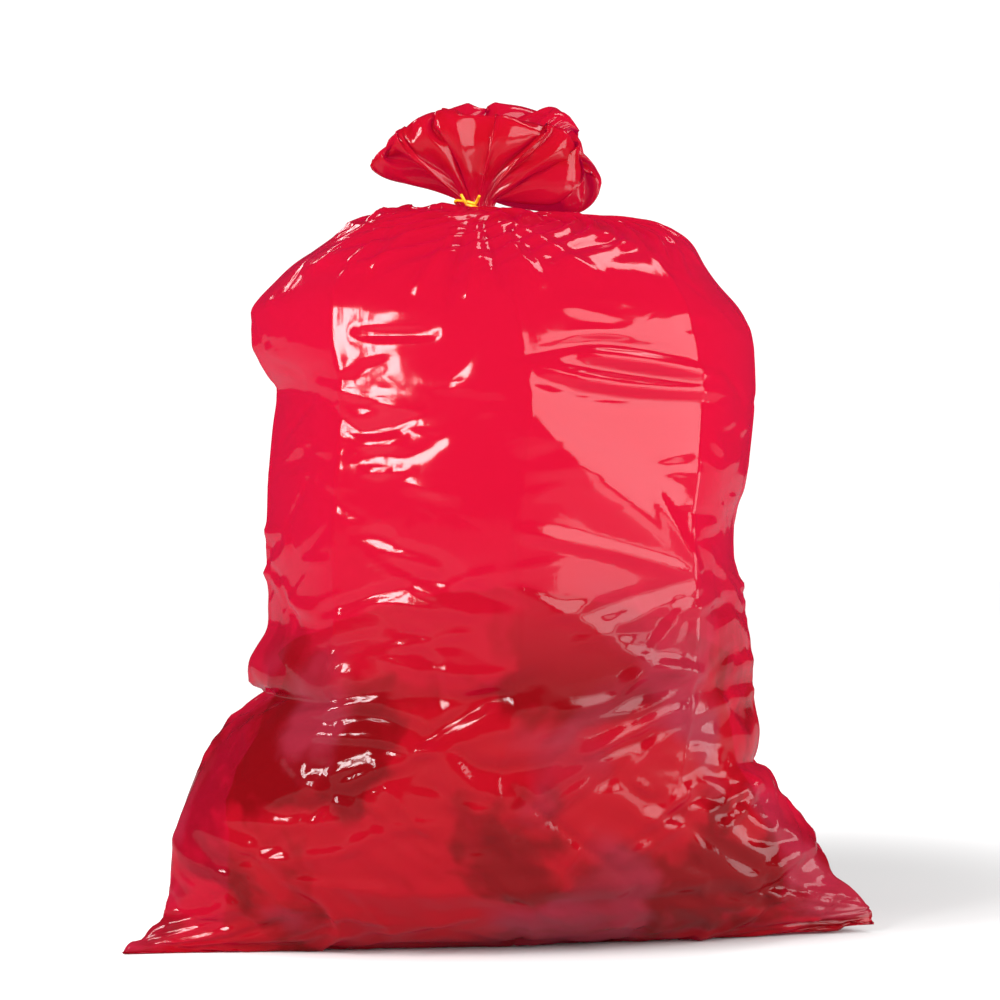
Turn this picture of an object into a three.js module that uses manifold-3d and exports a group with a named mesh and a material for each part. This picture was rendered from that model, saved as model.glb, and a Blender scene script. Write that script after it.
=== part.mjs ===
// A filled household garbage bag, standing on the floor with its neck tied.
//
// The bag is one piece of polyethylene film: a flat tube 700 mm wide with a straight seal across
// its bottom. Filled and stood up, its two bottom corners stick out as flat ears, its flanks swell,
// and above the tie the spare film flares out as a tuft. Loose waste fills the lower half, air the
// rest. A yellow tie holds the neck.
//
// Millimetres, +Z up. The bag's width runs along X and its front faces -Y. The origin is on the
// floor, under the middle of the whole bag.
import * as THREE from "three";
import { mergeVertices } from "three/addons/utils/BufferGeometryUtils.js";
import Module from "manifold-3d";

const wasm = await Module();
wasm.setup();

// Driving dimensions
const WALL = 2; // film as drawn; the real film is about 0.06 mm
const CLEARANCE = 0.3; // between pieces that rest on each other

// Body
const BODY_WIDTH = 440; // at the waist; the ears reach half as far again
const BODY_DEPTH = 420;
const BODY_HEIGHT = 660; // to the top of the shoulders

// Neck, where the tie sits
const NECK_X = -22; // the bag is gathered a little left of its middle
const NECK_RADIUS = 18; // the bunched film
const NECK_LENGTH = 24; // straight stretch that the slanting tie needs
const NECK_SINK = 11; // its foot is this far below the shoulders' top
const NECK_FLARE = 14; // the body's film starts this far out from the bunched film
const CHANNEL_RADIUS = 1.6; // the little way that gathered film leaves through its middle

// Tuft
const TUFT_WIDTH = 216;
const TUFT_DEPTH = 118;
const TUFT_HEIGHT = 87; // above the neck
const TUFT_SAG = 12; // its right lobe hangs down by this
const MOUTH_DEPTH = 12; // the shallow hollow in its top
const MOUTH_RADIUS = 9;

// Folds
const CREASES = 8; // along the tube, from the packet: it came folded in four
const FACET_COLUMNS = 9; // points from one crease to the next
const COLUMNS = CREASES * FACET_COLUMNS; // points round each ring
const CREASE_TURN = 2; // columns that the creases are turned by, from the right to the front
const FACET = 0.6; // how flat the film lies between two creases, from 0 to 1
const FACET_FOOT = 0.17; // where the facets start, as a share of the body's height
const FACET_TOP = 0.97; // and where they end
const FACET_FADE = 0.18; // from where they start up to full facets, and half that at their end
const PINCH = 11; // depth of the notch in the left flank, above the skirt
const PINCH_FROM = 0.55; // share of the way to the left where the notch starts
const PLEATS = 10; // round the neck
const SHOULDER_PLEAT = 0.05; // their depth, as a share of the ring's reach
const TUFT_PLEAT = 0.1;

// Ears
const EAR_LIFT = 12; // the right one's tip stands off the floor

// Tie
const TIE_THICKNESS = 3; // round section
const TIE_TILT = THREE.MathUtils.degToRad(24); // its front is lower
const TIE_SIDES = 10;
const TIE_SEGMENTS = 40;
const KNOT_RADIUS = 3.2;
const KNOT_ANGLE = THREE.MathUtils.degToRad(236); // at the front left
const END_LENGTH = 12; // the two short ends beyond the knot
const END_SPREAD = THREE.MathUtils.degToRad(36); // from straight out, to each side
const END_RISE = THREE.MathUtils.degToRad(50); // above the tie's own plane

// Waste
const FILL_SHARE = 0.4; // of the body's height, where the waste leaves the film
const HEAP_RISE = 60; // how far its heap rises above that
const HEAP_ROWS = 7;
const LUMP = 9; // unevenness of the heap
const FILL_GAP = 11; // air between the lumps of waste and the film beside them
const FILL_REACH = 250; // the waste stays out of the corners beyond this, left and right

// A ring is one level of the bag. Its reaches to the left, right, front and back are measured from
// the point (x, y). Round tells its outline: 1 is a lens pointed at both sides, 2 an ellipse. Ear
// is how much of each side is flat film with no room inside, lift how far its right end is raised,
// pinch the depth of the notch in its left flank, and pleat the depth of its folds.
const ring = (z, x, y, left, right, front, back, round, more = {}) => ({
  z, x, y, left, right, front, back, round, ear: 0, lift: 0, pinch: 0, pleat: 0, ...more,
});

// A level of the body in percent: its height of the body's height, the shift of its middle to the
// back and its reaches of half the body's width or depth. The shoulders lean towards the neck.
function level(height, shift, left, right, front, back, round, more = {}) {
  const wide = BODY_WIDTH / 200;
  const deep = BODY_DEPTH / 200;
  const lean = NECK_X * THREE.MathUtils.smoothstep(height, 85, 100);
  return ring(
    (height / 100) * BODY_HEIGHT,
    lean,
    shift * deep,
    left * wide,
    right * wide,
    front * deep,
    back * deep,
    round,
    { ...more, ear: (more.ear ?? 0) * wide },
  );
}

// From the floor to the shoulder. The corners of the seal are the widest level.
const bodyRings = [
  //   height, shift, left, right, front, back, round
  level(0, -10, 41, 41, 12, 26, 1.5),
  level(0, -14, 86, 86, 16, 44, 1.3, { ear: 6 }),
  level(0, -19, 122, 122, 14, 56, 1.15, { ear: 15 }),
  level(0.6, -21, 153, 152, 19, 67, 1, { ear: 30, lift: EAR_LIFT }),
  level(3.5, -19, 142, 148, 35, 76, 1, { ear: 20, lift: EAR_LIFT / 2 }),
  level(8, -15, 137, 140, 54, 84, 1.15, { ear: 12 }),
  level(14, -11, 133, 130, 70, 90, 1.4, { ear: 4 }),
  level(21, -7, 124, 115, 80, 92, 1.7),
  level(27, -4, 114, 108, 87, 93, 1.85),
  level(34, -1, 103, 106, 92, 94, 2, { pinch: PINCH }),
  level(38.5, 0, 102, 105, 95, 96, 2.05),
  level(45, 0, 96, 103, 98, 98, 2.1),
  level(52, 0, 95, 98, 100, 99, 2.1),
  level(60, 0, 95, 100, 101, 100, 2.1),
  level(67, 0, 94, 104, 100, 100, 2.1),
  level(74.5, 0, 92, 107, 98, 98, 2.1),
  level(80.5, 0, 100, 107, 95, 95, 2.1),
  level(85.5, 0, 102, 103, 90, 90, 2.1),
  level(90, 0, 89, 98, 83, 82, 2.1),
  level(94, 0, 74, 92, 72, 71, 2.1),
  level(97, 0, 60, 88, 60, 59, 2.1),
  level(98.8, 0, 47, 80, 46, 45, 2.1, { pleat: SHOULDER_PLEAT / 2 }),
  level(99.6, 0, 31, 54, 30, 30, 2, { pleat: SHOULDER_PLEAT }),
];

// The gathered neck
const round = (z, radius, more) =>
  ring(z, NECK_X, 0, radius, radius, radius, radius, 2, more);
const NECK_FOOT_Z = BODY_HEIGHT - NECK_SINK;
const NECK_TOP_Z = NECK_FOOT_Z + NECK_LENGTH;
const neckFoot = round(NECK_FOOT_Z, NECK_RADIUS + NECK_FLARE, { pleat: SHOULDER_PLEAT });

// A level of the tuft in percent of its height, and of half its width or depth
function tuft(height, left, right, front, back, round, more = {}) {
  const wide = TUFT_WIDTH / 200;
  const deep = TUFT_DEPTH / 200;
  return ring(
    NECK_TOP_Z + (height / 100) * TUFT_HEIGHT,
    NECK_X,
    0,
    left * wide,
    right * wide,
    front * deep,
    back * deep,
    round,
    { pleat: TUFT_PLEAT, ...more },
  );
}

// The straight neck, the tuft above it, and the hollow in the tuft's top
const MOUTH_FLOOR_Z = NECK_TOP_Z + TUFT_HEIGHT - MOUTH_DEPTH;
const upperRings = [
  round(NECK_FOOT_Z, NECK_RADIUS),
  round(NECK_TOP_Z, NECK_RADIUS),
  //   height, left, right, front, back, round
  tuft(6, 41, 50, 54, 54, 1.9, { pleat: TUFT_PLEAT / 2 }),
  tuft(10, 65, 85, 75, 75, 1.8, { lift: -TUFT_SAG }),
  tuft(22, 90, 105, 95, 92, 1.8, { lift: -TUFT_SAG / 2 }),
  tuft(43, 82, 106, 105, 102, 1.9),
  tuft(66, 67, 94, 98, 98, 2),
  tuft(87, 46, 78, 78, 81, 2),
  tuft(100, 28, 54, 51, 58, 2),
  tuft(95, 18, 34, 30, 34, 2),
  round(MOUTH_FLOOR_Z, MOUTH_RADIUS),
];

// The angle of a column, 0 at the right and turning towards the back
const angleOf = (column) => (2 * Math.PI * (column + 0.5)) / COLUMNS;

// How far the film at a height lies towards flat facets
function facetShare(z) {
  const { smoothstep } = THREE.MathUtils;
  const height = z / BODY_HEIGHT;
  const above = smoothstep(height, FACET_FOOT, FACET_FOOT + FACET_FADE);
  return FACET * above * (1 - smoothstep(height, FACET_TOP - FACET_FADE / 2, FACET_TOP));
}

// A row of points with the stretches between its creases drawn towards straight lines
function flattened(row, z) {
  return row.map((point, c) => {
    const past = (c + CREASE_TURN) % FACET_COLUMNS;
    const from = row[(c - past + COLUMNS) % COLUMNS];
    const to = row[(c - past + FACET_COLUMNS) % COLUMNS];
    return point.clone().lerp(from.clone().lerp(to, past / FACET_COLUMNS), facetShare(z));
  });
}

// A ring's points, cut short of its ears by a share of them: none on the outside, all inside
function outline(r, earShare = 0) {
  const row = Array.from({ length: COLUMNS }, (_, c) => {
    const angle = angleOf(c);
    const side = Math.cos(angle) > 0 ? r.right : r.left;
    const across = Math.cos(angle) * (1 - (earShare * r.ear) / side);
    const along = Math.sqrt(1 - across ** 2) ** (2 / r.round);
    const pleat = 1 + r.pleat * Math.cos(PLEATS * angle);
    const pinch = r.pinch * THREE.MathUtils.smoothstep(-across, PINCH_FROM, 1);
    return new THREE.Vector3(
      r.x + side * across * pleat + pinch,
      r.y + (Math.sin(angle) > 0 ? r.back : -r.front) * along * pleat,
      r.z + r.lift * Math.max(0, across) ** 4,
    );
  });
  return flattened(row, r.z);
}

// The middle of a row of points
const middle = (row) =>
  row.reduce((sum, p) => sum.add(p), new THREE.Vector3()).divideScalar(row.length);

// A closed skin over rows of points, shut at its first and last row
function skin(rows) {
  const points = [middle(rows[0]), ...rows.flat(), middle(rows.at(-1))];
  const at = (r, c) => 1 + r * COLUMNS + (c % COLUMNS);
  const top = rows.length - 1;
  const index = [];
  for (let c = 0; c < COLUMNS; c++) {
    index.push(0, at(0, c + 1), at(0, c));
    for (let r = 0; r < top; r++) {
      index.push(at(r, c), at(r, c + 1), at(r + 1, c + 1));
      index.push(at(r, c), at(r + 1, c + 1), at(r + 1, c));
    }
    index.push(points.length - 1, at(top, c), at(top, c + 1));
  }
  const geometry = new THREE.BufferGeometry().setFromPoints(points);
  geometry.setIndex(index);
  geometry.computeVertexNormals();
  return geometry;
}

// The rows of points moved inwards by a depth, square to the skin over them
function inset(rows, depth) {
  const { normal } = skin(rows).attributes;
  return rows.map((row, r) =>
    row.map((point, c) => {
      const out = new THREE.Vector3().fromBufferAttribute(normal, 1 + r * COLUMNS + c);
      return point.clone().addScaledVector(out, -depth);
    }),
  );
}

// The room inside the body, from the floor to the foot of the neck
const room = inset([...bodyRings, neckFoot].map((r) => outline(r, 1)), WALL);

// A three.js geometry as a manifold-3d solid, placed by a matrix
function solid(geometry, matrix = new THREE.Matrix4()) {
  const bare = geometry.clone().applyMatrix4(matrix);
  bare.deleteAttribute("normal");
  bare.deleteAttribute("uv");
  const merged = mergeVertices(bare, 1e-4);
  return new wasm.Manifold(
    new wasm.Mesh({
      numProp: 3,
      vertProperties: merged.attributes.position.array,
      triVerts: new Uint32Array(merged.index.array),
    }),
  );
}

// A manifold-3d solid as a three.js geometry
function geometryOf(made) {
  const mesh = made.getMesh();
  const geometry = new THREE.BufferGeometry();
  geometry.setAttribute("position", new THREE.BufferAttribute(mesh.vertProperties, 3));
  geometry.setIndex(new THREE.BufferAttribute(mesh.triVerts, 1));
  return geometry;
}

// The film: all the bag's outside, less the room in the body and the channel from it that comes
// out at the bottom of the tuft's hollow
function filmBag() {
  const outside = [...bodyRings, neckFoot, ...upperRings].map((r) => outline(r));
  const channel = [middle(room.at(-1)).z, MOUTH_FLOOR_Z + 1].map((z) =>
    outline(round(z, CHANNEL_RADIUS)),
  );
  return geometryOf(solid(skin(outside)).subtract(solid(skin([...room, ...channel]))));
}

// The waste: it stands on the film, a little in from the flanks, up to the fill level, and ends in
// an uneven heap
function wasteFilling() {
  const rows = inset(room, CLEARANCE)
    .filter((row) => middle(row).z < FILL_SHARE * BODY_HEIGHT)
    .map((row) => {
      const centre = middle(row);
      return row.map((point) => {
        const inwards = centre.clone().sub(point).setZ(0).normalize();
        return point.clone().addScaledVector(inwards, FILL_GAP);
      });
    });
  const brim = rows.at(-1);
  const centre = middle(brim);
  for (let i = 1; i <= HEAP_ROWS; i++) {
    const share = Math.cos(((Math.PI / 2) * i) / (HEAP_ROWS + 1));
    rows.push(
      brim.map((p, c) => {
        const point = centre.clone().lerp(p, share);
        const bumps = Math.sin(3 * angleOf(c) + i) * share * (1 - share);
        point.z += HEAP_RISE * (1 - share ** 2) + 4 * LUMP * bumps;
        return point;
      }),
    );
  }
  return geometryOf(
    solid(skin(rows)).trimByPlane([-1, 0, 0], -FILL_REACH).trimByPlane([1, 0, 0], -FILL_REACH),
  );
}

// The tie: a ring that slants round the neck, a knot, and its two short ends
function neckTie() {
  const half = TIE_THICKNESS / 2;
  const radius = (NECK_RADIUS + CLEARANCE + half) / Math.cos(TIE_TILT);
  const up = new THREE.Vector3(0, 0, 1);
  const out = new THREE.Vector3(1, 0, 0).applyAxisAngle(up, KNOT_ANGLE);
  const knotAt = out.clone().multiplyScalar(radius + KNOT_RADIUS - half);
  const knotShape = new THREE.SphereGeometry(KNOT_RADIUS, 16, TIE_SIDES);
  const loop = solid(new THREE.TorusGeometry(radius, half, TIE_SIDES, TIE_SEGMENTS));
  let tie = loop.add(solid(knotShape, new THREE.Matrix4().setPosition(knotAt)));
  for (const side of [-1, 1]) {
    const away = out.clone().applyAxisAngle(up, side * END_SPREAD);
    away.multiplyScalar(Math.cos(END_RISE)).addScaledVector(up, Math.sin(END_RISE));
    const place = new THREE.Matrix4().compose(
      knotAt.clone().addScaledVector(away, END_LENGTH / 2),
      new THREE.Quaternion().setFromUnitVectors(new THREE.Vector3(0, 1, 0), away),
      new THREE.Vector3(1, 1, 1),
    );
    tie = tie.add(solid(new THREE.CylinderGeometry(half, half, END_LENGTH, TIE_SIDES), place));
  }
  return geometryOf(tie);
}

function part(name, geometry, color, roughness) {
  const mesh = new THREE.Mesh(
    geometry,
    new THREE.MeshStandardMaterial({ color, roughness, metalness: 0 }),
  );
  mesh.name = name;
  return mesh;
}

const film = part("film_bag", filmBag(), 0xe01a3a, 0.25);
const waste = part("waste_filling", wasteFilling(), 0x4a3b36, 0.9);
const tie = part("neck_tie", neckTie(), 0xf2b01e, 0.5);
tie.position.set(NECK_X, 0, (NECK_FOOT_Z + NECK_TOP_Z) / 2);
tie.rotation.x = TIE_TILT;

const bag = new THREE.Group();
bag.add(film, waste, tie);

// Stand the bag on the floor with the origin under the middle of its box
bag.updateMatrixWorld(true);
const box = new THREE.Box3().setFromObject(bag, true);
const centre = box.getCenter(new THREE.Vector3());
bag.position.set(-centre.x, -centre.y, -box.min.z);

export default bag;
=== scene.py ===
# %% [markdown]
# # A filled garbage bag of red film
#
# The bag is one tube of thin polyethylene film, 700 mm wide and 1100 mm long when flat, welded
# across its bottom. Film hardly stretches, so everything that shows on it, the pleats under the
# tie, the notches in its flanks, the fans of wrinkles at its ears, comes from 1400 mm of girth that
# has to fit a shape that mostly needs less. The script therefore starts from the sheet: it lays
# out where the film should roughly be, gives every small cell of it its flat size, and lets a
# solver push the cells back to that size. Only the folds that are chance are added one by one.

# %% Load the frame
import math
import time

import bpy
import numpy as np
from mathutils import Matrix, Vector


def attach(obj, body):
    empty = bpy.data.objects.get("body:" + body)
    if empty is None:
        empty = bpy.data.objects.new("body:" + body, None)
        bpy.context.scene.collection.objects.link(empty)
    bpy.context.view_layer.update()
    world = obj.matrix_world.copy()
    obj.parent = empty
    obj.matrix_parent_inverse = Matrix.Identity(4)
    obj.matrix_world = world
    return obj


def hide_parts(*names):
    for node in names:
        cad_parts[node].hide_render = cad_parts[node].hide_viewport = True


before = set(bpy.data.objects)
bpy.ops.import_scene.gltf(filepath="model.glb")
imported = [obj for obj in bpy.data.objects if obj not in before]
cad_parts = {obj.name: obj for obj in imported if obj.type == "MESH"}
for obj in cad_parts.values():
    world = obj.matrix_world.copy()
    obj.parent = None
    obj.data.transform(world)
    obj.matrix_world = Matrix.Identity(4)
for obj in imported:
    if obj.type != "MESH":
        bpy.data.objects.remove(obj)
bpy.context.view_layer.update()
for node in ("film_bag", "waste_filling", "neck_tie"):
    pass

# %% [markdown]
# ## Small helpers
#
# Colours are written as the sRGB hex that a colour picker shows and turned linear here, because
# shaders work in linear light. A material is a list of nodes and links, made by one function.

# %% Helpers
MM = 0.001


def linear(hexa):
    """sRGB hex, such as 'e3164a', as linear RGBA"""
    values = [int(hexa[i : i + 2], 16) / 255 for i in (0, 2, 4)]
    return [v / 12.92 if v <= 0.04045 else ((v + 0.055) / 1.055) ** 2.4 for v in values] + [1.0]


def material(name):
    made = bpy.data.materials.new(name)
    made.use_nodes = True
    made.node_tree.nodes.clear()
    return made


def node(made, kind, settings=None, **inputs):
    """Adds a shader node: settings are its own options, inputs are values or sockets to link"""
    added = made.node_tree.nodes.new(kind)
    for key, value in (settings or {}).items():
        setattr(added, key, value)
    for key, value in inputs.items():
        place = int(key[1:]) if key[1:].isdigit() else key.replace("_", " ")
        socket = added.inputs[place]
        if isinstance(value, bpy.types.NodeSocket):
            made.node_tree.links.new(value, socket)
        else:
            socket.default_value = value
    return added


def mesh_object(name, points, faces, smooth=True):
    """A mesh of these points and faces, without the points that no face uses"""
    points, faces = np.asarray(points, float), np.asarray(faces)
    used, placed = np.unique(faces, return_inverse=True)
    mesh = bpy.data.meshes.new(name)
    mesh.from_pydata(points[used].tolist(), [], placed.reshape(faces.shape).tolist())
    mesh.polygons.foreach_set("use_smooth", np.full(len(mesh.polygons), smooth))
    mesh.update()
    made = bpy.data.objects.new(name, mesh)
    bpy.context.scene.collection.objects.link(made)
    return made


# %% [markdown]
# ## Where the film should roughly be
#
# Each row is one level of the bag in mm: its height, the point that its reaches are measured
# from, its reach to the left, right, front and back, how round it is (1 is a lens that is pointed
# at both sides, 2 an ellipse) and how far its right end is lifted. The first row is the weld, a
# straight line between the two ears. The bag is widest at the floor, has a notch in its left flank
# at 223 mm and in its right one at 157 mm, and is pinched on the left at 494 mm.

# %% The levels
GIRTH, LENGTH = 1.400, 1.100  # of the flat tube

LEVELS = [
    # z, x, y, left, right, front, back, round, lift
    (1, 0, -52, 340, 338, 1, 1, 1.0, 8),
    (1, 0, -50, 340, 338, 10, 60, 1.0, 8),
    (2, 0, -48, 340, 338, 18, 118, 1.0, 8),
    (8, 0, -45, 335, 338, 34, 146, 1.0, 8),
    (14, 0, -43, 322, 336, 52, 156, 1.0, 6),
    (26, 0, -39, 308, 331, 76, 166, 1.05, 3),
    (38, 0, -36, 304, 322, 98, 174, 1.1, 1),
    (50, 0, -33, 301, 306, 112, 179, 1.2, 0),
    (66, 0, -29, 299, 301, 126, 184, 1.3, 0),
    (84, 0, -25, 298, 293, 140, 188, 1.4, 0),
    (102, 0, -21, 295, 281, 150, 190, 1.5, 0),
    (126, 0, -17, 287, 260, 160, 192, 1.65, 0),
    (148, 0, -13, 278, 248, 170, 194, 1.75, 0),
    (157, 0, -11, 273, 233, 172, 194, 1.8, 0),
    (170, 0, -9, 266, 236, 177, 195, 1.85, 0),
    (186, 0, -7, 255, 238, 182, 196, 1.9, 0),
    (203, 0, -4, 241, 235, 187, 197, 1.95, 0),
    (215, 0, -3, 224, 233, 190, 198, 2.0, 0),
    (223, 0, -2, 213, 233, 192, 198, 2.0, 0),
    (231, 0, -1, 226, 232, 194, 199, 2.0, 0),
    (243, 0, 0, 229, 232, 197, 200, 2.05, 0),
    (259, 0, 0, 223, 231, 200, 202, 2.05, 0),
    (279, 0, 0, 211, 229, 203, 204, 2.1, 0),
    (302, 0, 0, 210, 226, 206, 206, 2.1, 0),
    (330, 0, 0, 211, 217, 209, 208, 2.1, 0),
    (359, 0, 0, 212, 214, 211, 209, 2.1, 0),
    (385, 0, 0, 211, 217, 212, 210, 2.1, 0),
    (414, 0, 0, 210, 226, 212, 210, 2.1, 0),
    (460, 0, 0, 206, 232, 209, 209, 2.1, 0),
    (494, 0, 0, 202, 235, 206, 206, 2.1, 0),
    (508, 0, 0, 210, 235, 204, 204, 2.1, 0),
    (529, 0, 0, 222, 234, 200, 200, 2.1, 0),
    (551, 0, 0, 226, 231, 194, 194, 2.1, 0),
    (572, -2, 0, 222, 222, 186, 185, 2.1, 0),
    (593, -5, 0, 200, 206, 174, 173, 2.1, 0),
    (613, -9, 0, 174, 196, 158, 156, 2.1, 0),
    (634, -14, 0, 138, 192, 134, 132, 2.1, 0),
    (647, -17, 0, 114, 188, 108, 106, 2.1, 0),
    (655, -19, 0, 92, 180, 84, 82, 2.1, 0),
    (659, -21, 0, 70, 150, 60, 58, 2.0, 0),
    (658, -22, 0, 54, 84, 44, 44, 2.0, 0),
    (654, -22, 0, 32, 36, 30, 30, 2.0, 0),
]
NECK = [
    (656, -22, 0, 17, 17, 17, 17, 2.0, 0),
    (668, -22, 0, 17, 17, 17, 17, 2.0, 0),
]
# Above the tie the film fans out, up in the middle and level at the sides, and its mouth is tucked
# back between its two halves. Each row is one direction, in degrees from the right over the back:
# places to the right of, behind and above the top of the neck, in mm.
TUFT = {
    10: [(17, 3, 0), (46, 6, -2), (76, 10, -3), (97, 10, -7), (113, 8, 5), (116, 6, 24),
         (106, 6, 42), (84, 6, 50)],
    40: [(12, 11, 0), (40, 22, 24), (72, 30, 48), (99, 28, 66), (96, 18, 75), (78, 12, 66),
         (58, 8, 54), (42, 6, 40)],
    65: [(7, 15, 0), (28, 30, 28), (54, 38, 58), (78, 34, 82), (76, 20, 89), (62, 12, 78),
         (48, 8, 58), (36, 6, 40)],
    90: [(0, 17, 0), (8, 32, 30), (16, 40, 62), (22, 34, 86), (22, 18, 93), (19, 10, 80),
         (16, 8, 58), (12, 6, 36)],
    125: [(-9, 14, 0), (-14, 28, 28), (-22, 34, 58), (-30, 28, 82), (-28, 14, 89), (-25, 8, 78),
          (-21, 6, 54), (-16, 4, 34)],
    155: [(-15, 7, 0), (-32, 16, 20), (-52, 22, 44), (-70, 18, 62), (-65, 8, 68), (-53, 4, 60),
          (-42, 2, 46), (-30, 2, 32)],
    180: [(-17, 0, 0), (-35, 0, 10), (-66, 0, 15), (-99, 0, 27), (-88, 0, 38), (-66, 0, 46),
          (-44, 0, 46), (-26, 0, 40)],
    215: [(-14, -9, 0), (-32, -18, 17), (-56, -26, 36), (-76, -24, 52), (-64, -18, 60),
          (-46, -12, 54), (-32, -8, 40), (-22, -4, 24)],
    245: [(-8, -14, 0), (-18, -26, 26), (-32, -34, 52), (-42, -32, 72), (-36, -22, 78),
          (-26, -12, 66), (-20, -8, 46), (-16, -4, 26)],
    270: [(0, -16, 0), (3, -28, 25), (8, -36, 50), (12, -34, 70), (12, -22, 76), (10, -12, 62),
          (8, -8, 42), (6, -4, 24)],
    300: [(8, -14, 0), (24, -27, 24), (44, -36, 46), (60, -34, 64), (60, -22, 70), (50, -14, 58),
          (38, -8, 42), (28, -4, 28)],
    330: [(14, -9, 0), (38, -20, 14), (66, -28, 30), (90, -26, 46), (92, -16, 54), (78, -12, 50),
          (60, -8, 42), (42, -4, 34)],
    350: [(17, -4, 0), (42, -12, -2), (66, -18, -6), (80, -18, 3), (94, -14, 18), (99, -10, 34),
          (88, -8, 40), (66, -4, 38)],
}
PLEATS = 46  # round the neck
BETWEEN = 8  # levels worked out between two rows of the table
TWIST = 0.0153  # of a turn: above the floor the tube is turned a little to the right
CREASES = 8  # round the tube: the bag came folded in four, so it has a crease every 175 mm
FRONT_SAG = 13  # mm by which the film under the tie slopes down to the front
FLATTEN = 0.6  # how far the film between two creases lies towards a flat facet

print(len(LEVELS), "levels and", len(TUFT), "directions of the tuft")

# %% [markdown]
# ## From rows to rings
#
# A smooth curve runs through the rows, and each row on it becomes a closed ring of points. The
# short bulges and notches belong to the flanks alone, so the front and the back take softer
# reaches. Between two packing creases the film lies flatter than a round tube does.

# %% Rings
def smooth_rows(table, steps):
    """A Catmull-Rom curve through the rows of a table"""
    t = np.array(table, float)
    last = len(t) - 1
    rows = []
    for i in range(last):
        a, b, c, d = t[max(i - 1, 0)], t[i], t[i + 1], t[min(i + 2, last)]
        for s in np.arange(steps) / steps:
            rows.append(
                0.5 * (2 * b + (c - a) * s + (2 * a - 5 * b + 4 * c - d) * s**2
                       + (3 * b - a - 3 * c + d) * s**3)
            )
    return np.array(rows + [t[-1]])


def with_soft_sides(levels):
    """Adds each level's left and right reach without the short bulges and notches of the flanks"""
    near = np.exp(-(((levels[:, None, 0] - levels[None, :, 0]) / 45) ** 2))
    near *= np.gradient(levels[:, 0])[None, :].clip(0.1)
    soft = near @ levels[:, 3:5] / near.sum(axis=1, keepdims=True)
    plain = (levels[:, :1] < 80) | (levels[:, :1] > 600)
    return np.concatenate([levels, np.where(plain, levels[:, 3:5], soft)], axis=1)


def level_points(level, columns):
    """Points round a level, evenly spaced over its back half and over its front half"""
    z, x, y, left, right, front, back, roundness, lift, soft_left, soft_right = level
    u = (np.arange(columns) / columns - TWIST * np.clip((z - 20) / 130, 0, 1)) % 1.0
    angle = np.linspace(0, math.pi, 361)
    across, along = np.cos(angle), np.sin(angle) ** (2 / roundness)
    points, girth = np.empty((columns, 3)), 0
    for half, reach, share in ((u < 0.5, back, 2 * u), (u >= 0.5, -front, 2 - 2 * u)):
        side = np.clip((np.abs(across) - 0.55) / 0.45, 0, 1) ** 2
        wide = np.where(across > 0, soft_right + side * (right - soft_right),
                        soft_left + side * (left - soft_left))
        sag = 0 if reach > 0 else FRONT_SAG * along * np.clip((z - 590) / 40, 0, 1)
        path = np.stack([x + wide * across, y + reach * along,
                         z + lift * np.clip(across, 0, 1) ** 4
                         - sag * np.clip(-reach / 100, 0, 1)], axis=1)
        way = np.concatenate([[0], np.cumsum(np.linalg.norm(np.diff(path, axis=0), axis=1))])
        girth += way[-1]
        for k in range(3):
            points[half, k] = np.interp(share[half] * way[-1], way, path[:, k])
    # Facets between the creases, from above the skirt up to the shoulders
    flat = FLATTEN * np.clip((z - 110) / 120, 0, 1) * np.clip((640 - z) / 60, 0, 1)
    each = columns // CREASES
    corner = points[::each]
    across = (np.arange(each) / each)[None, :, None]
    facet = (corner[:, None] * (1 - across) + np.roll(corner, -1, 0)[:, None] * across).reshape(-1, 3)
    points += flat * (facet - points) * np.array([1, 1, 0])
    return points * MM, girth * MM


# %% [markdown]
# ## The tuft and its pleats
#
# Above the tie the mouth of the tube opens like a fan. The tie takes 1400 mm of girth down to
# about 110 mm, and the surplus stands as pleats that start in the tie, widen on both sides of it
# and run out over the shoulders. They could be left to the solver alone, but then they come out
# as even as a cupcake's paper, so each pleat is started with its own width, height and lean.

# %% Tuft and pleats
def tuft_points(columns, steps=64):
    """The film above the neck: for each column its own way out, sampled at even distances"""
    angles = sorted(TUFT)
    keys = np.array([TUFT[a] for a in angles], float)
    turn = ((np.arange(columns) / columns - TWIST) % 1.0) * 360
    row = np.interp(turn, [angles[-1] - 360] + angles + [angles[0] + 360], range(-1, len(angles) + 1))
    first = np.floor(row).astype(int)
    share = (row - first)[:, None, None]
    share = share * share * (3 - 2 * share)
    ways = keys[first % len(keys)] * (1 - share) + keys[(first + 1) % len(keys)] * share
    points = np.empty((steps, columns, 3))
    for c in range(columns):
        way = smooth_rows(ways[c], 6)
        run = np.concatenate([[0], np.cumsum(np.linalg.norm(np.diff(way, axis=0), axis=1))])
        even = np.linspace(0, run[-1], steps)
        for k in range(3):
            points[:, c, k] = np.interp(even, run, way[:, k])
    points += [NECK[-1][1], 0, NECK[-1][0]]
    return points[1:] * MM


def grid_normals(p):
    n = np.cross(np.roll(p, -1, 1) - np.roll(p, 1, 1), np.gradient(p, axis=0))
    return n / np.maximum(np.linalg.norm(n, axis=2, keepdims=True), 1e-12)


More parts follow.
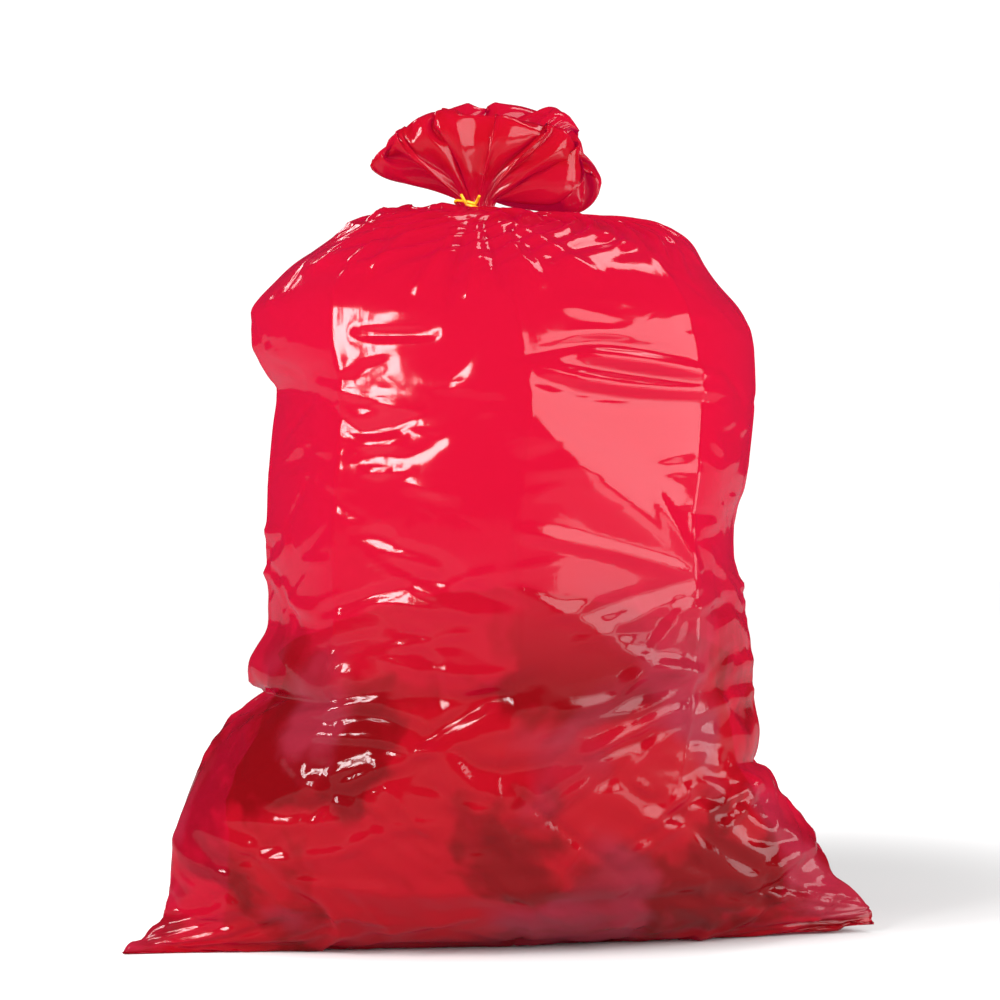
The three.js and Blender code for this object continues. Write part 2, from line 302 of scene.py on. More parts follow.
def pleats(along, columns, girth, neck):
    """Height in mm of the pleats that the tie makes: they start in it, widen and run out"""
    rng = np.random.default_rng(3)
    u = np.arange(columns) / columns
    away = (along - neck)[:, None] / MM
    height = np.zeros((len(along), columns))
    for k in range(PLEATS):
        centre = (k + rng.uniform(-0.45, 0.45)) / PLEATS
        down, wide, high = rng.uniform(35, 190), rng.uniform(0.6, 1.5), rng.uniform(0.5, 1.4)
        side = rng.choice([-1, 1])
        lean = rng.normal(0, 0.02)
        off = ((u[None, :] - centre + lean * away / 100 + 0.5) % 1 - 0.5) * girth[:, None] / MM
        far = np.where(away > 0, away, -away)
        half = wide * (2.2 + 0.11 * np.minimum(far, 90))
        tall = high * (1.0 + 0.055 * np.minimum(far, 80)) * np.where(
            away > 0, 1, np.clip(1 + away / down, 0, 1) ** 0.8)
        near = np.clip(1 - np.abs(off) / half, 0, 1)
        height += side * tall * near
    return height


# %% [markdown]
# ## The rough shape of the whole film
#
# Rings, neck and tuft are joined and cut again at even distances along the tube, so that row
# after row of the grid is the same length of film apart, from the weld to the mouth.

# %% The rough shape
def roughly(columns, rows):
    """The film's rough place at each point of its grid, the girth there, and the neck's place"""
    levels = smooth_rows(LEVELS + NECK, BETWEEN)
    levels[:, 0] = np.maximum(levels[:, 0], 1)
    levels = with_soft_sides(levels)
    made = [level_points(level, columns) for level in levels]
    place = np.concatenate([[p for p, _ in made], tuft_points(columns)])
    steps = np.linalg.norm(np.diff(place, axis=0), axis=2)
    neck = len(LEVELS) * BETWEEN
    # Up to the neck all columns share the way along the front and back. Above it each has its own.
    body = steps[:neck, [columns // 4, 3 * columns // 4]].mean(axis=1)
    way = np.zeros((len(place), columns))
    way[1 : neck + 1] = np.cumsum(body)[:, None]
    way[neck + 1 :] = way[neck] + np.cumsum(steps[neck:], axis=0)
    along = np.linspace(0, LENGTH, rows)
    target = np.empty((rows, columns, 3))
    for c in range(columns):
        for k in range(3):
            target[:, c, k] = np.interp(along, way[:, c], place[:, c, k])
    neck = way[neck, 0]
    around = np.linalg.norm(np.roll(target, -1, 1) - target, axis=2).sum(axis=1)
    target += grid_normals(target) * pleats(along, columns, around, neck)[..., None] * MM
    girth = np.linalg.norm(np.roll(target, -1, 1) - target, axis=2).sum(axis=1)
    return target, girth, along, neck


# %% [markdown]
# ## The film solver
#
# The film is a grid of points. One step moves every point on by its own speed, pushes it out with
# the pressure of the air or the waste inside, draws it weakly towards its rough place, and then
# restores the length of every edge: round the tube, up the tube and across each cell. A slight
# stiffness flattens bends, and lets go where the film has folded sharply, which is what turns soft
# waves into the creases of real film. It runs on a coarse grid first, where the large folds form,
# and then on grids twice and four times as fine.

# %% The solver
NEAR_NECK = 1.12  # the gathered film has this much more girth than its rough shape needs
TAUT = 0.9  # how far the taut film takes its lengths from the rough shape
GATHERED = 0.4  # the same near the tie and above it
SPARE = 1.006  # the little too much that it has there, which makes shallow folds


def pull(a, b, rest, share=1.0):
    """Moves two blocks of points, in place, so that they are their rest length apart"""
    d = b - a
    length = np.sqrt(np.einsum("ijk,ijk->ij", d, d)) + 1e-9
    d *= (0.5 * share * (1 - rest / length))[..., None]
    a += d
    b -= d


class Film:
    def __init__(self, columns, rows, start=None):
        self.rows, self.columns = rows, columns
        target, girth, self.along, self.neck = roughly(columns, rows)
        self.target = target.astype(np.float32)
        self.up = np.float32(LENGTH / (rows - 1))
        self.rest_lengths(target, girth)
        rng = np.random.default_rng(11)
        base, much = (self.target, 0.08) if start is None else (start, 0.03)
        self.now = (base + rng.normal(0, much * self.up, base.shape)).astype(np.float32)
        self.before = self.now.copy()
        self.creased = np.ones((1, columns, 1), np.float32)
        self.creased[:, :: columns // CREASES] = 0

    def rest_lengths(self, target, girth):
        """Flat lengths where the film gathers, mostly those of the rough shape where it is taut"""
        taut = np.interp(self.along, [0, 0.03, 0.72, 0.84], [0.6, TAUT, TAUT, GATHERED])[:, None]
        spare = np.interp(self.along, [0.0, 0.78, 0.88], [1.0, 1.0, NEAR_NECK])
        flat = (np.minimum(GIRTH, spare * girth) / self.columns)[:, None]
        beside = np.linalg.norm(np.roll(target, -1, 1) - target, axis=2)
        self.round = ((1 - taut) * flat + taut * SPARE * beside).astype(np.float32)
        taut, corner = taut[1:], np.sqrt(self.up**2 + (0.5 * (flat[1:] + flat[:-1])) ** 2)
        self.edges = []
        for turn in (0, 1, -1):
            apart = np.linalg.norm(np.roll(target, -turn, 1)[1:] - target[:-1], axis=2)
            self.edges.append(((1 - taut) * (corner if turn else self.up)
                               + taut * SPARE * apart).astype(np.float32))

    def lengths(self):
        """Restores the lengths of all edges once"""
        p = self.now
        pull(p[:, 0::2], p[:, 1::2], self.round[:, 0::2])
        odd, even = p[:, 1::2].copy(), np.roll(p[:, 0::2], -1, 1)
        pull(odd, even, self.round[:, 1::2])
        p[:, 1::2], p[:, 0::2] = odd, np.roll(even, 1, 1)
        for turn, rest in zip((0, 1, -1), self.edges):
            for first in (0, 1):
                count = (self.rows - first) // 2
                low = p[first : first + 2 * count : 2]
                high = np.roll(p[first + 1 : first + 2 * count : 2], -turn, 1)
                pull(low, high, rest[first::2][:count], 0.5 if turn else 1.0)
                p[first + 1 : first + 2 * count : 2] = np.roll(high, turn, 1)

    def flatten(self, stiffness, crease):
        """Flattens bends, less where they are sharp"""
        p = self.now
        mid = 0.5 * (np.roll(p, 1, 1) + np.roll(p, -1, 1)) - p
        sharp = np.einsum("ijk,ijk->ij", mid, mid) / (crease * self.round) ** 2
        mid *= (stiffness / (1 + sharp))[..., None] * self.creased
        p += mid
        p -= 0.5 * (np.roll(mid, 1, 1) + np.roll(mid, -1, 1))
        mid = 0.5 * (p[:-2] + p[2:]) - p[1:-1]
        sharp = np.einsum("ijk,ijk->ij", mid, mid) / (crease * self.up) ** 2
        mid *= (stiffness / (1 + sharp))[..., None]
        p[1:-1] += mid
        p[:-2] -= 0.5 * mid
        p[2:] -= 0.5 * mid

    def run(self, steps, pressure, draw, hold, stiffness, crease, damping=0.98):
        for i in range(steps):
            if i % 8 == 0:
                push = (pressure * grid_normals(self.now)).astype(np.float32)
            speed = np.clip((self.now - self.before) * damping, -0.2 * self.up, 0.2 * self.up)
            self.before[...] = self.now
            self.now += speed + push + draw * (self.target - self.now)
            self.lengths()
            self.flatten(stiffness, crease)
            np.maximum(self.now[..., 2], 0.8 * MM, out=self.now[..., 2])
            self.now += hold * (self.target - self.now)

    def finer(self):
        """The points of a grid twice as fine, with the folds kept round"""
        a = self.now
        b = np.empty((self.rows, 2 * self.columns, 3), np.float32)
        b[:, 0::2] = a
        b[:, 1::2] = (9 * (a + np.roll(a, -1, 1)) - np.roll(a, 1, 1) - np.roll(a, -2, 1)) / 16
        d = np.empty((2 * self.rows - 1, 2 * self.columns, 3), np.float32)
        d[0::2] = b
        d[1::2] = (b[:-1] + b[1:]) / 2
        d[3:-3:2] = (9 * (b[1:-2] + b[2:-1]) - b[:-3] - b[3:]) / 16
        return d


# %% [markdown]
# ## Where the film is pushed and held
#
# The waste and the air press from inside, less in the tuft, and not at all under the bag. The two
# ears are held, the weld nearly so, and the tie holds the neck. The rough shape draws most at
# the outline and over the shoulders.

# %% Run the solver
def bump(x, middle, width):
    return np.exp(-(((x - middle) / width) ** 2))


def fields(film):
    u = (np.arange(film.columns) / film.columns)[None, :]
    v = film.along[:, None]
    tuft = np.clip((v - film.neck) / 0.02, 0, 1)
    pressure = (1 - 0.8 * tuft) * np.clip((v - 0.06) / 0.05, 0, 1) + 0 * u
    sides = bump(u, 0.0, 0.04) + bump(u, 1.0, 0.04) + bump(u, 0.5, 0.04)
    draw = 2 + 6 * bump(v, 0.82, 0.05) + 3 * tuft + 0 * u
    hold = 0.02 * sides * np.clip((0.8 - v) / 0.1, 0, 1)
    hold[0] = 0.05
    hold[0, [0, film.columns // 2]] = 1
    hold[np.abs(film.along - film.neck - 0.006) < max(0.006, 0.6 * film.up)] = 0.3
    return pressure[..., None], draw[..., None], hold[..., None].astype(np.float32)


def blow_up(stages):
    film = None
    for columns, rows, steps, stiffness in stages:
        started = time.time()
        film = Film(columns, rows, None if film is None else film.finer())
        pressure, draw, hold = fields(film)
        scale = (STAGES[0][0] / columns) ** 2
        film.run(
            steps, 2e-5 * scale * pressure, (0.004 * scale * draw).astype(np.float32), hold,
            stiffness, 0.2)
        edges = np.linalg.norm(np.diff(film.now, axis=0), axis=2) / film.up
        print(f"film {columns} x {rows}: {steps} steps in {time.time() - started:.0f} s, "
              f"edges {np.percentile(edges, 1):.3f} to {np.percentile(edges, 99):.3f} of rest")
    return film


STAGES = [(88, 71, 3000, 0.05), (176, 141, 1600, 0.04), (352, 281, 700, 0.02)]
film = blow_up(STAGES[: 3])

# %% [markdown]
# ## Folds that this bag happens to have
#
# Which way a wrinkle falls is chance, so the solver can't be asked for the ones that this bag
# shows. They are added here along the film's normals: creases that it came with in the packet,
# sagging folds under its right shoulder, fans where the waste pulls it, and a few hundred small
# wrinkles anywhere. The chosen folds are given as they appear from the front, in mm to the right
# of and above the middle of the bag's foot.

# %% Where the camera stands
AZIMUTH = math.radians(-9)
DISTANCE, HEIGHT = 2.16, 0.396
RIGHT = np.array([math.cos(AZIMUTH), math.sin(AZIMUTH), 0])
AHEAD = np.array([-math.sin(AZIMUTH), math.cos(AZIMUTH), 0])


def from_front(points):
    """Millimetres right and up as seen from the camera"""
    scale = DISTANCE / (DISTANCE + points @ AHEAD)
    return points @ RIGHT * scale / MM, ((points[..., 2] - HEIGHT) * scale + HEIGHT) / MM


# %% Folds
# Each is a line of points from the front, its height (a groove is negative) and half its width.
FOLDS = [
    ([(5, 526), (92, 540), (174, 526)], -4, 9),
    ([(73, 531), (137, 522), (209, 506)], 5, 9),
    ([(55, 523), (128, 511), (183, 502)], -4, 8),
    ([(26, 519), (110, 501), (215, 495)], 5, 10),
    ([(27, 506), (110, 490), (201, 486)], -3, 9),
    ([(14, 367), (100, 350), (184, 325)], 4, 9),
    ([(140, 405), (163, 362), (184, 326)], 3, 8),
    ([(110, 222), (150, 275), (184, 325)], 3, 8),
    ([(60, 260), (120, 285), (182, 322)], 2.5, 9),
    ([(158, 384), (215, 383)], -1.5, 5),
    ([(125, 245), (173, 242)], 3, 6),
    ([(67, 157), (120, 185), (169, 209)], 4, 7),
    ([(60, 150), (115, 170), (172, 196)], -3, 7),
    ([(119, 199), (150, 215), (175, 224)], 3, 6),
    ([(119, 141), (140, 126)], 3, 6),
    ([(137, 103), (160, 120), (178, 137)], 3.5, 6),
    ([(150, 98), (175, 118), (196, 130)], -3, 6),
    ([(186, 108), (215, 125), (240, 141)], 3.5, 6),
    ([(198, 90), (222, 112), (238, 137)], 3, 5),
    ([(219, 86), (281, 82)], -2.5, 6),
    ([(219, 45), (250, 62), (281, 87)], 3, 7),
    ([(210, 30), (250, 42), (290, 70)], -2.5, 7),
    ([(284, 6), (300, 28), (315, 41)], 3, 6),
    ([(-18, 90), (60, 140), (119, 190)], 2, 9),
    ([(-40, 70), (40, 100), (110, 150)], -2, 9),
    ([(-215, 114), (-165, 141), (-73, 168)], 3, 9),
    ([(-205, 100), (-150, 125), (-70, 150)], -2.5, 9),
    ([(-190, 182), (-120, 178), (-40, 160)], 2.5, 8),
    ([(-165, 181), (-137, 179)], 2, 5),
    ([(-218, 51), (-186, 48), (-100, 40)], 2.5, 6),
    ([(-325, 16), (-307, 12), (-293, 6)], 3, 5),
    ([(-154, 238), (-136, 237)], 2, 4),
    ([(-159, 268), (-154, 240)], 1.5, 4),
    ([(-137, 549), (-100, 548), (-55, 549)], -4, 9),
    ([(-180, 505), (-130, 492), (-70, 475)], 3, 8),
    ([(-165, 490), (-125, 458), (-75, 474)], -3, 8),
    ([(-142, 452), (-110, 446), (-87, 452)], 2.5, 7),
    ([(-128, 424), (-110, 420), (-100, 426)], 2, 6),
    ([(-180, 607), (-150, 622), (-118, 640)], 4, 9),
    ([(80, 648), (110, 632), (132, 626)], 3, 7),
    ([(-212, 330), (-195, 352), (-200, 372)], 3, 6),
    # One long tight fold from the shoulder to the pinch on the right, and the wedge under it
    ([(-30, 520), (75, 430), (185, 328)], 6, 46),
    ([(185, 325), (160, 250), (150, 170)], 5, 26),
    # Folds that meet in the middle, where the film is caught between two things
    ([(-165, 213), (-110, 195), (-56, 176)], -4, 13),
    ([(-82, 262), (-62, 240), (-54, 184)], -4, 12),
    ([(-58, 182), (-10, 215), (50, 238)], -5, 16),
    ([(-56, 172), (-5, 148), (80, 160)], -5, 15),
    ([(-58, 170), (-34, 120), (24, 78)], 5, 17),
    ([(-205, 122), (-125, 140), (-60, 172)], 4, 12),
    ([(48, 200), (100, 213), (128, 236), (176, 243)], 4, 9),
    ([(110, 62), (140, 84), (172, 104)], 4, 10),
    ([(212, 28), (250, 52), (288, 84)], 4, 8),
    # Along the foot
    ([(-233, 46), (-100, 36), (60, 42), (180, 50), (300, 56)], 4, 13),
    ([(-120, 14), (60, 24), (180, 32), (290, 36)], -3, 9),
    ([(-279, 99), (-230, 75), (-178, 58)], 3.5, 10),
    ([(-262, 60), (-225, 70), (-190, 92)], -3, 9),
    # From the tie down the front
    ([(-32, 655), (-52, 625), (-80, 585)], 3.5, 9),
    ([(-27, 655), (-38, 620), (-52, 570)], -3.5, 9),
    ([(-22, 655), (-24, 620), (-30, 578)], 3.5, 9),
    ([(-14, 655), (-6, 622), (2, 590)], -4, 9),
    ([(-8, 655), (14, 625), (42, 590)], 4, 10),
    ([(-2, 655), (40, 632), (95, 598)], 4, 9),
    ([(-40, 655), (-80, 640), (-128, 600)], 4, 9),
]

print(len(FOLDS), "chosen folds")


# %% Shapes of folds
def ridge(away, half):
    """1 on the line of a fold, 0 from half its width on, sharp at its top"""
    near = np.clip(1 - np.abs(away) / half, 0, 1)
    return near * near * (3 - 2 * near) * 0.6 + near * 0.4


def along_line(x, y, line, half):
    """Height of a fold along a line of points, fading out at both ends"""
    line = smooth_rows(np.array(line, float), 6) if len(line) > 2 else np.array(line, float)
    total = np.concatenate([[0], np.cumsum(np.linalg.norm(np.diff(line, axis=0), axis=1))])
    best, place = np.full(x.shape, 1e9), np.zeros(x.shape)
    for a, b, before in zip(line[:-1], line[1:], total):
        d = b - a
        length = max(np.linalg.norm(d), 1e-9)
        t = np.clip(((x - a[0]) * d[0] + (y - a[1]) * d[1]) / length**2, 0, 1)
        away = np.hypot(x - a[0] - t * d[0], y - a[1] - t * d[1])
        closer = away < best
        best[closer] = away[closer]
        place[closer] = ((before + t * length) / total[-1])[closer]
    return ridge(best, half) * np.clip(4 * place * (1 - place), 0, 1) ** 0.6


def chosen_folds(points, normals):
    height = np.zeros(points.shape[:2])
    x, z = from_front(points)
    faces = np.clip(-(normals @ AHEAD) * 2, 0, 1)
    for line, high, half in FOLDS:
        low, top = np.min(line, axis=0) - half, np.max(line, axis=0) + half
        near = (x > low[0]) & (x < top[0]) & (z > low[1]) & (z < top[1]) & (faces > 0)
        height[near] += high * faces[near] * along_line(x[near], z[near], line, half)
    return height


def packet_creases(s, t):
    """The creases of the folded tube: eight along it and one across every 275 mm"""
    apart = GIRTH / CREASES
    away = (np.abs((s + apart / 2) % apart - apart / 2)) / MM
    across = np.abs((t + 0.1375) % 0.275 - 0.1375) / MM
    fade = np.clip((t - 0.08) / 0.1, 0, 1) * np.clip((0.86 - t) / 0.06, 0, 1)
    worn = 0.5 + 0.5 * np.sin(37 * t + 9 * np.sin(5 * s)) * np.cos(21 * s + 3)
    return fade * (0.9 * ridge(away, 6) + 0.7 * worn * ridge(across, 6))


def small_wrinkles(s, t, count=700):
    """Short wrinkles anywhere, steep near the neck and slanting over the skirt"""
    rng = np.random.default_rng(29)
    height = np.zeros(s.shape)
    for _ in range(count):
        cs, ct = rng.uniform(0, GIRTH), rng.uniform(0.02, 0.9)
        if ct > 0.74:
            steep = rng.normal(75, 15)
        else:
            steep = rng.normal(28, 22) if ct < 0.36 else rng.normal(8, 16)
        angle = math.radians(steep) * rng.choice([-1, 1])
        half_length, half, high = rng.uniform(16, 60), rng.uniform(6, 11), rng.uniform(0.3, 1.6)
        if ct < 0.46:
            half_length, high = 1.5 * half_length, 1.9 * high
        ds = ((s - cs + GIRTH / 2) % GIRTH - GIRTH / 2) / MM
        dt = (t - ct) / MM
        near = (np.abs(ds) < half_length + half) & (np.abs(dt) < half_length + half)
        ds, dt = ds[near], dt[near]
        run = ds * math.cos(angle) + dt * math.sin(angle)
        away = dt * math.cos(angle) - ds * math.sin(angle) + rng.normal(0, 0.004) * run**2 / 4
        height[near] += (rng.choice([-1, 1]) * high * ridge(away, half)
                         * np.clip(1 - (run / half_length) ** 2, 0, 1))
    return height


# %% Fold the film
s_flat = np.arange(film.columns)[None, :] * GIRTH / film.columns + np.zeros((film.rows, 1))
t_flat = film.along[:, None] + np.zeros((1, film.columns))
normals = grid_normals(film.now)
lift = (chosen_folds(film.now, normals) + packet_creases(s_flat, t_flat)
        + small_wrinkles(s_flat, t_flat))
lift *= np.clip((t_flat - 0.004) / 0.02, 0, 1) * np.clip(np.abs(t_flat - film.neck) / 0.04, 0, 1)
skin = film.now + normals * lift[..., None] * MM
skin[..., 2] = np.maximum(skin[..., 2], 0.8 * MM)
print(f"folds from {lift.min():.1f} to {lift.max():.1f} mm")

# %% [markdown]
# ## The film as a mesh
#
# The grid becomes quads, closed round the tube. Its texture coordinates are the flat film in
# metres, so a pattern on it has its real size and runs along the tube as the extruder made it.

# %% The bag
index = np.arange(film.rows * film.columns).reshape(film.rows, film.columns)
right = np.roll(index, -1, 1)
quads = np.stack([index[:-1], right[:-1], right[1:], index[1:]], axis=-1).reshape(-1, 4)
across = np.arange(film.columns)
weld = np.where(across > film.columns // 2, film.columns - across, across)
quads = np.concatenate([weld, np.arange(film.columns, index.size)])[quads]
bag = mesh_object("garbage_bag", skin.reshape(-1, 3), quads)
flat_s = np.stack([s_flat[:-1], s_flat[:-1] + GIRTH / film.columns,
                   s_flat[:-1] + GIRTH / film.columns, s_flat[:-1]], axis=-1)
flat_t = np.stack([t_flat[:-1], t_flat[:-1], t_flat[1:], t_flat[1:]], axis=-1)
layer = bag.data.uv_layers.new(name="flat_film")
layer.data.foreach_set("uv", np.stack([flat_s, flat_t], axis=-1).ravel().astype(np.float32))
print("film from", skin.min((0, 1)).round(3), "to", skin.max((0, 1)).round(3),
      2 * len(quads), "triangles")

# %% [markdown]
# ## The waste
#
# The waste shows only as dark shapes behind the film, up to about 300 mm. It is one lumpy heap
# that leans on the film all round, so it is made from the film's own lower part: smoothed, moved
# in by a finger's width, dented between round lumps and closed with a low dome.

# %% The waste
HEAP_TOP, HEAP_RISE, HEAP_GAP, DENTS = 0.262, 0.056, 0.010, 0.012
HEAP_REACH = 0.250  # the waste stays out of the ears


def near_lump(points, size, count=900):
    """1 in the middle of a lump, 0 between lumps: lumps of about one size, anywhere"""
    rng = np.random.default_rng(5)
    best = np.full(points.shape[:-1], 9.0)
    for centre in rng.uniform(points.min((0, 1)), points.max((0, 1)), (count, 3)):
        best = np.minimum(best, np.linalg.norm(points - centre, axis=-1) / size)
    return np.clip(1 - best, 0, 1)


def heap_points():
    rows = np.nonzero((film.now[..., 2].mean(axis=1) > 0.012) & (film.along < 0.5)
                      & (film.now[..., 2].mean(axis=1) < HEAP_TOP))[0]
    inside = film.now[rows[0] : rows[-1] + 1 : 4, :: 2 if film.columns > 300 else 1].astype(float)
    p = inside
    for _ in range(14):
        p = (np.roll(p, 1, 1) + 2 * p + np.roll(p, -1, 1)) / 4
        p[1:-1] = (p[:-2] + 2 * p[1:-1] + p[2:]) / 4
    middle = p.mean(axis=1, keepdims=True)
    inward = (middle - p) / np.linalg.norm(middle - p, axis=2, keepdims=True)
    dent = np.maximum(((inside - p) * inward).sum(axis=2, keepdims=True), 0)
    for _ in range(5):
        dent = np.maximum(dent, np.maximum(np.roll(dent, 1, 1), np.roll(dent, -1, 1)))
        dent[1:-1] = np.maximum(dent[1:-1], np.maximum(dent[:-2], dent[2:]))
    p += inward * (HEAP_GAP + dent)
    share = np.cos(np.linspace(0, math.pi / 2, 20))[1:, None, None]
    cap = middle[-1] + (p[-1] - middle[-1]) * share
    cap[..., 2] = p[-1, :, 2] + (HEAP_TOP + HEAP_RISE - p[-1, :, 2]) * (1 - share[..., 0] ** 2)
    foot = middle[0] + (p[0] - middle[0]) * 0.9
    base = middle[0] + (p[0] - middle[0]) * np.linspace(0.05, 0.84, 8)[:, None, None]
    p = np.concatenate([base, foot[None], p, cap])
    p[:9, :, 2] = 3 * MM
    p[..., 0] -= np.sign(p[..., 0]) * np.maximum(np.abs(p[..., 0]) - HEAP_REACH, 0) * 0.85
    middle = p.mean(axis=1, keepdims=True) * [1, 1, 0] + [0, 0, 0.12]
    inward = (middle - p) / np.linalg.norm(middle - p, axis=2, keepdims=True)
    p += inward * (DENTS * (1 - near_lump(p, 0.05)))[..., None]
    p[..., 2] = np.maximum(p[..., 2], 3 * MM)
    return p


heap = heap_points()
heap_index = np.arange(heap.shape[0] * heap.shape[1]).reshape(heap.shape[:2])
beside = np.roll(heap_index, -1, 1)
waste = mesh_object(
    "waste_heap", heap.reshape(-1, 3),
    np.stack([heap_index[:-1], beside[:-1], beside[1:], heap_index[1:]], axis=-1).reshape(-1, 4))
print("waste from", heap.min((0, 1)).round(3), "to", heap.max((0, 1)).round(3))

# %% [markdown]
# ## The tie
#
# A thin yellow twist of polypropylene holds the neck. It goes once round, a little uneven, lies
# lower at the right, and its two ends stand up at the front. It could be a ring, but a ring has
# no ends and looks like a machine part, so it is a path of points with a round section.

# %% The tie
TIE_RADIUS, TIE_WIRE, TIE_TILT = 0.0205, 0.0013, math.radians(20)


def tube(name, path, radius, sides=10):
    curve = bpy.data.curves.new(name, "CURVE")
    curve.dimensions = "3D"
    spline = curve.splines.new("POLY")
    spline.points.add(len(path) - 1)
    for point, at in zip(spline.points, path):
        point.co = (*at, 1)
    curve.bevel_depth, curve.bevel_resolution, curve.use_fill_caps = radius, sides // 4, True
    holder = bpy.data.objects.new(name, curve)
    mesh = bpy.data.meshes.new_from_object(holder)
    bpy.data.objects.remove(holder)
    mesh.polygons.foreach_set("use_smooth", np.full(len(mesh.polygons), True))
    mesh.name = name
    made = bpy.data.objects.new(name, mesh)
    bpy.context.scene.collection.objects.link(made)
    return made


def tie_path():
    start = math.radians(236)
    angle = np.linspace(0, 2 * math.pi * 1.06, 90) + start
    radius = TIE_RADIUS * (1 + 0.03 * np.sin(3 * angle))
    x, y, z = radius * np.cos(angle), radius * np.sin(angle), np.linspace(-0.0015, 0.0015, 90)
    tail = []
    for side, where in ((-1, 0), (1, -1)):
        away = np.array([math.cos(start + side * 0.6), math.sin(start + side * 0.6), 0.7])
        s = np.linspace(0, 0.009, 8)[1:, None]
        tail.append(np.array([x[where], y[where], z[where]]) + s * away)
    path = np.concatenate([tail[0][::-1], np.stack([x, y, z], 1), tail[1]])
    tilt = np.array([[math.cos(TIE_TILT), 0, math.sin(TIE_TILT)], [0, 1, 0],
                     [-math.sin(TIE_TILT), 0, math.cos(TIE_TILT)]])
    return path @ tilt.T + np.array([-0.022, 0, 0.661])


tie = tube("neck_tie_strand", tie_path(), TIE_WIRE)
print("tie of", len(tie.data.polygons), "faces")

# %% [markdown]
# ## Mixing inside a material
#
# Nearly every pattern here is one colour laid over another through a soft mask, so two short
# functions make those.

# %% Masks and mixtures
def mixed(made, factor, first, second):
    """A colour between two, as a socket"""
    return node(made, "ShaderNodeMix", {"data_type": "RGBA"}, _0=factor, _6=first, _7=second
                ).outputs[2]


def between(made, value, low, high, start=0.0, end=1.0):
    """From start to end, as a smooth step, while the value goes from low to high"""
    return node(made, "ShaderNodeMapRange", {"interpolation_type": "SMOOTHSTEP"}, Value=value,
                From_Min=low, From_Max=high, To_Min=start, To_Max=end).outputs[0]


# %% [markdown]
# ## The film's material
#
# The bag is LDPE, low-density polyethylene, 0.06 mm thick, blown as a bubble and wound up flat.
# It has an index of refraction of about 1.5 and the gloss of all blown film, with faint streaks
# along the tube. A red pigment lets red through and some violet, so the empty upper half glows
# pinker than the lower one, and over the lower part the film's colour and glow are also painted
# darker in patches, as painted shade of the waste behind it. It could be one glass-like shader, but
# a film this thin doesn't bend what is behind it. So it is part clear, part glowing from behind, and
# part coloured gloss.

# %% Film
def film_material():
    m = material("Red LDPE film")
    flat = node(m, "ShaderNodeTexCoord").outputs["UV"]
    up = node(m, "ShaderNodeSeparateXYZ", Vector=flat).outputs["Y"]
    # Streaks along the tube from the lips of the die, 1 to 3 mm wide
    along = node(m, "ShaderNodeMapping", Vector=flat, Scale=(1.0, 0.06, 1.0)).outputs[0]
    streaks = node(m, "ShaderNodeTexNoise", Vector=along, Scale=420.0, Detail=2.0)
    # Soft crumple between the larger folds, 15 to 40 mm across
    bent = node(m, "ShaderNodeTexNoise", Vector=flat, Scale=14.0, Detail=3.0)
    moved = node(m, "ShaderNodeMix", {"data_type": "VECTOR"}, _0=0.06, _4=flat,
                 _5=bent.outputs["Color"]).outputs[1]
    crumple = node(m, "ShaderNodeTexVoronoi", {"feature": "DISTANCE_TO_EDGE"}, Vector=moved,
                   Scale=26.0)
    # Fine creases 2 to 4 mm wide and 20 mm long, in patches
    long = node(m, "ShaderNodeMapping", Vector=moved, Rotation=(0, 0, 0.35),
                Scale=(1.0, 5.0, 1.0)).outputs[0]
    creases = node(m, "ShaderNodeTexNoise", {"noise_type": "RIDGED_MULTIFRACTAL"}, Vector=long,
                   Scale=24.0, Detail=2.0)
    patch = node(m, "ShaderNodeTexNoise", Vector=flat, Scale=9.0, Detail=1.0)
    worn = between(m, patch.outputs[0], 0.45, 0.7)
    fine_height = node(m, "ShaderNodeMath", {"operation": "MULTIPLY"}, _0=creases.outputs[0],
                       _1=worn).outputs[0]
    soft = node(m, "ShaderNodeBump", Strength=0.3, Distance=0.0012, Height=crumple.outputs[0])
    sharp = node(m, "ShaderNodeBump", Strength=0.35, Distance=0.0006, Height=fine_height,
                 Normal=soft.outputs[0])
    fine = node(m, "ShaderNodeBump", Strength=0.16, Distance=0.0002, Height=streaks.outputs[0],
                Normal=sharp.outputs[0]).outputs[0]
    # Painted shade: over the lower part, patches of the film's colour and of its glow are drawn
    # darker, standing in for the waste behind it that blocks the light
    shade_patches = node(m, "ShaderNodeTexNoise", Vector=moved, Scale=8.0, Detail=3.0, Roughness=0.6)
    low = between(m, up, 0.33, 0.50, 1.0, 0.0)
    painted_waste_shade = node(m, "ShaderNodeMath", {"operation": "MULTIPLY"}, _1=low,
                 _0=between(m, shade_patches.outputs[0], 0.46, 0.58)).outputs[0]
    tone = node(m, "ShaderNodeTexNoise", Vector=moved, Scale=5.0, Detail=2.0)
    violet = node(m, "ShaderNodeMath", {"operation": "MULTIPLY"}, _1=low,
                  _0=between(m, tone.outputs[0], 0.50, 0.58)).outputs[0]
    # Painted shade: inside those patches the film's colour and its glow are darker
    body = mixed(m, painted_waste_shade, linear("a40a16"), linear("79070d"))
    body = mixed(m, violet, body, linear("932435"))
    lit = mixed(m, painted_waste_shade, linear("f63fa4"), linear("bc193f"))
    skin = node(m, "ShaderNodeBsdfPrincipled", Base_Color=body, Roughness=0.085,
                IOR=1.5, Specular_IOR_Level=0.4, Normal=fine)
    through = node(m, "ShaderNodeBsdfTransparent", Color=linear("f95999"))
    glow = node(m, "ShaderNodeBsdfTranslucent", Color=lit, Normal=fine)
    light = node(m, "ShaderNodeMixShader", _0=0.55, _1=through.outputs[0], _2=glow.outputs[0])
    both = node(m, "ShaderNodeMixShader", _0=0.58, _1=light.outputs[0], _2=skin.outputs[0])
    node(m, "ShaderNodeOutputMaterial", Surface=both.outputs[0])
    return m
